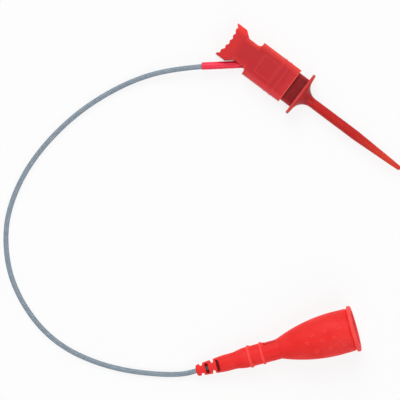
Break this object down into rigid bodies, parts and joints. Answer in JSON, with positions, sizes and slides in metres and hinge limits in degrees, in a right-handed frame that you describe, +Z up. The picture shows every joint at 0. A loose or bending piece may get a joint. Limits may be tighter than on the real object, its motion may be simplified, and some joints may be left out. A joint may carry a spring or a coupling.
{
  "type": "test hook clip",
  "caption": "Spring-loaded test clip with a flat grip, finger flange, tapered nose and retracting wire hook, on a thin braided lead that ends in a push-on socket boot.",
  "frame": {"origin": "under the middle of the clip's length and width, on the surface that it lies on; the lead and the boot aren't counted", "axes": "+X along the clip towards the hook, +Y across the clip, away from the side where the lead leaves, +Z up through its thickness"},
  "size_m": [0.0987, 0.0967, 0.0125],
  "materials": {
    "sleeve_plastic": "moulded red nylon, satin, slightly see-through",
    "stem_plastic": "moulded dark red nylon, see-through at its edges",
    "nose_plastic": "moulded red nylon, satin",
    "hook_steel": "bright sprung wire",
    "spring_steel": "drawn spring wire",
    "splice_brass": "tinned",
    "conductor_copper": "stranded copper",
    "heat_shrink_film": "shrunk film, satin",
    "lead_jacket": "fine grey braid",
    "boot_vinyl": "soft moulded vinyl, satin",
    "insulator_plastic": "moulded red nylon",
    "contact_brass": "plated",
    "ferrule_metal": "tinned"
  },
  "bodies": {
    "grip": {"grip_sleeve": "sleeve_plastic", "hook_wire": "hook_steel", "return_spring": "spring_steel", "splice_ferrule": "splice_brass", "clip_end_conductor": "conductor_copper", "heat_shrink": "heat_shrink_film", "lead": "lead_jacket", "boot": "boot_vinyl", "socket_insulator": "insulator_plastic", "socket_contact": "contact_brass", "boot_end_conductor": "conductor_copper", "jacket_ferrule": "ferrule_metal"},
    "nose": {"inner_stem": "stem_plastic", "nose_piece": "nose_plastic"}
  },
  "joints": [
    {"name": "press_slide", "type": "slide", "parent": "grip", "child": "nose", "axis": [-1, 0, 0], "range_m": [0, 0.0028], "stiffness_N_per_m": 300, "springref_m": -0.004, "deforming": ["return_spring"]}
  ]
}
